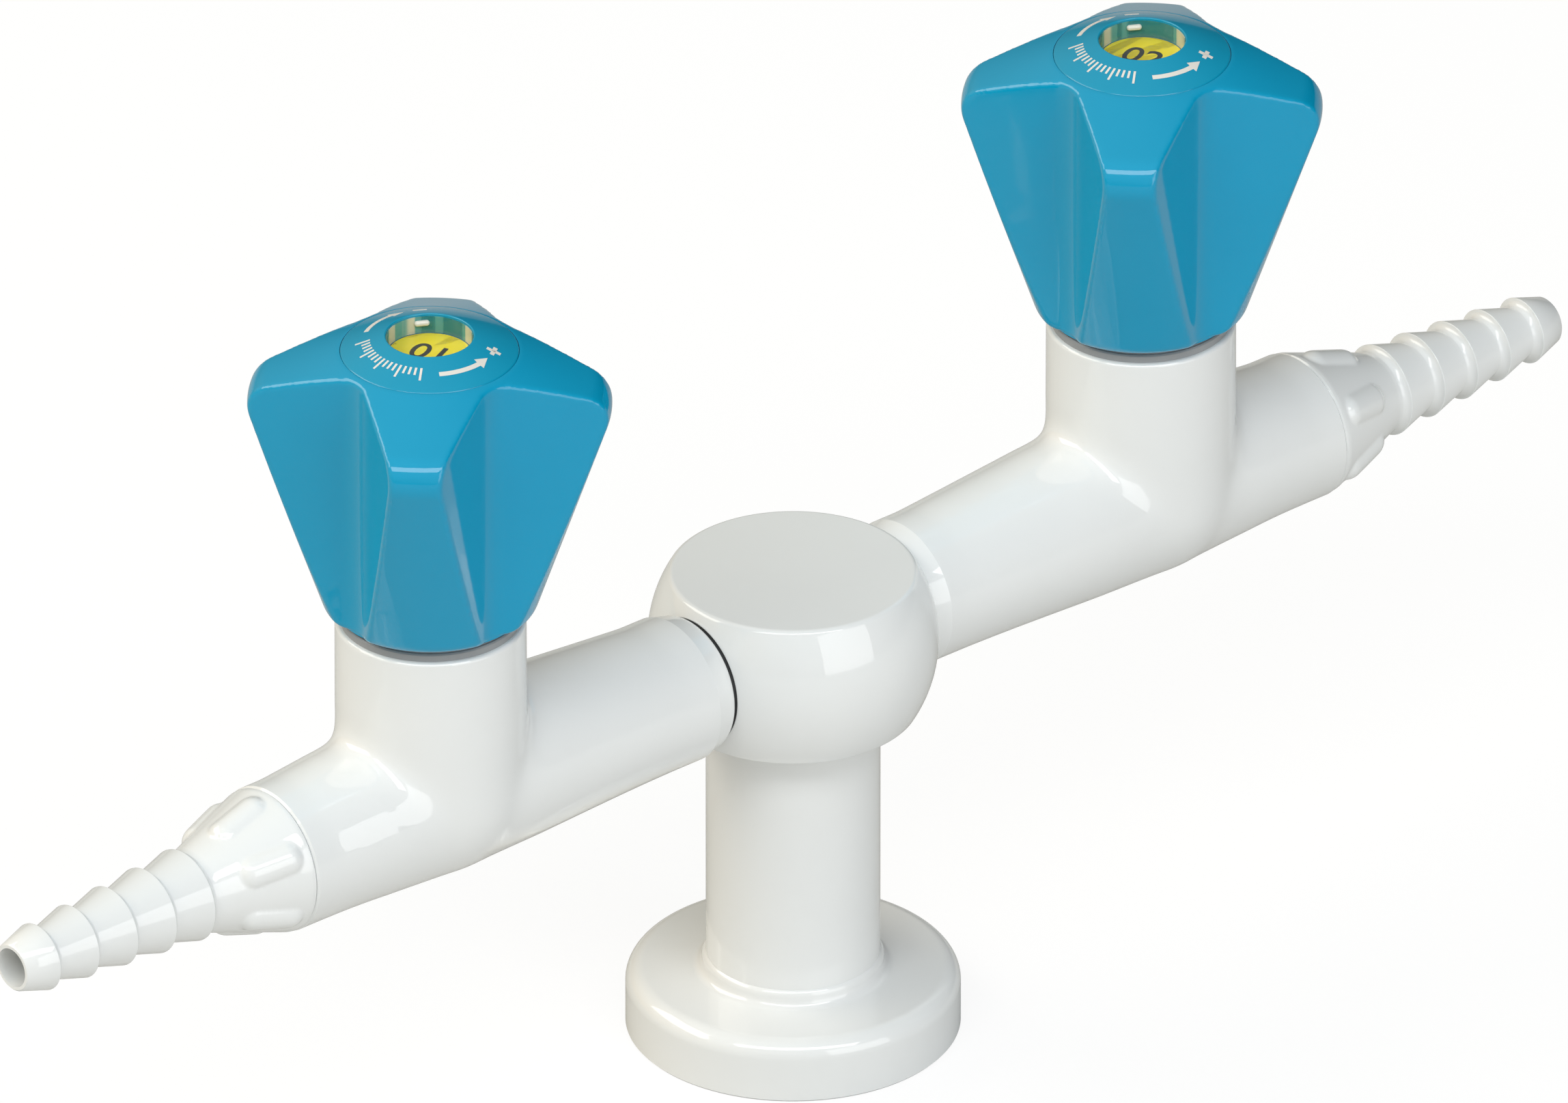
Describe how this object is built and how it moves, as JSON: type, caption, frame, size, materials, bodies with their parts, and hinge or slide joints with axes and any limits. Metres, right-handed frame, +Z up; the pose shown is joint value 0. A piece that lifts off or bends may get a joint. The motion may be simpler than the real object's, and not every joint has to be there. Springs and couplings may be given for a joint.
{
  "type": "laboratory gas tap",
  "caption": "Bench-mounted twin laboratory gas tap: column on a round flange, ball hub, opposed valve arms with four-lobed knobs and barbed hose nozzles.",
  "frame": {"origin": "on the column axis at the underside of the base flange, in the mouth of the supply thread", "axes": "+Z up along the column, +X along the arms towards the fully seated (right) arm's nozzle"},
  "size_m": [0.3004, 0.05, 0.1421],
  "materials": {
    "white_coat": "glossy white powder coat over brass",
    "blue_knob": "gloss moulded blue",
    "blue_cap": "satin moulded blue with off-white printed marks",
    "brass": "turned brass",
    "steel": "turned stainless steel",
    "grey_collar": "satin grey",
    "black_rubber": "matt black rubber",
    "yellow_disc": "yellow index disc",
    "clear_lens": "clear moulded lens"
  },
  "bodies": {
    "stand": {"base_flange": "white_coat", "base_gasket": "black_rubber", "column_tube": "white_coat", "column_washer": "black_rubber", "hub": "white_coat", "arm_seal_right": "black_rubber", "arm_nipple_right": "brass", "valve_body_right": "white_coat", "nozzle_seal_right": "black_rubber", "hose_nozzle_right": "white_coat", "headwork_right": "brass", "headwork_collar_right": "grey_collar", "guide_bush_right": "brass", "arm_seal_left": "black_rubber", "arm_nipple_left": "brass", "valve_body_left": "white_coat", "nozzle_seal_left": "black_rubber", "hose_nozzle_left": "white_coat", "headwork_left": "brass", "headwork_collar_left": "grey_collar", "guide_bush_left": "brass"},
    "right_control": {"spindle_right": "steel", "spindle_seals_right": "black_rubber", "spindle_clip_right": "steel", "knob_right": "blue_knob", "knob_screw_right": "steel", "index_disc_right": "yellow_disc", "index_cap_right": "blue_cap", "index_lens_right": "clear_lens"},
    "right_plunger": {"plunger_right": "brass", "seat_washer_right": "black_rubber"},
    "left_control": {"spindle_left": "steel", "spindle_seals_left": "black_rubber", "spindle_clip_left": "steel", "knob_left": "blue_knob", "knob_screw_left": "steel", "index_disc_left": "yellow_disc", "index_cap_left": "blue_cap", "index_lens_left": "clear_lens"},
    "left_plunger": {"plunger_left": "brass", "seat_washer_left": "black_rubber"}
  },
  "joints": [
    {"name": "right_knob_turn", "type": "hinge", "parent": "stand", "child": "right_control", "pos_m": [0.06835, 0, 0.06515], "axis": [0, 0, 1], "range_deg": [0, 600]},
    {"name": "right_plunger_lift", "type": "slide", "parent": "stand", "child": "right_plunger", "axis": [0, 0, 1], "range_m": [0, 0.002]},
    {"name": "left_knob_turn", "type": "hinge", "parent": "stand", "child": "left_control", "pos_m": [-0.0705, 0, 0.06515], "axis": [0, 0, 1], "range_deg": [0, 600]},
    {"name": "left_plunger_lift", "type": "slide", "parent": "stand", "child": "left_plunger", "axis": [0, 0, 1], "range_m": [0, 0.002]}
  ],
  "couplings": [
    {"joint": "right_plunger_lift", "follows": "right_knob_turn", "m_per_rad": 0.00019098},
    {"joint": "left_plunger_lift", "follows": "left_knob_turn", "m_per_rad": 0.00019098}
  ]
}
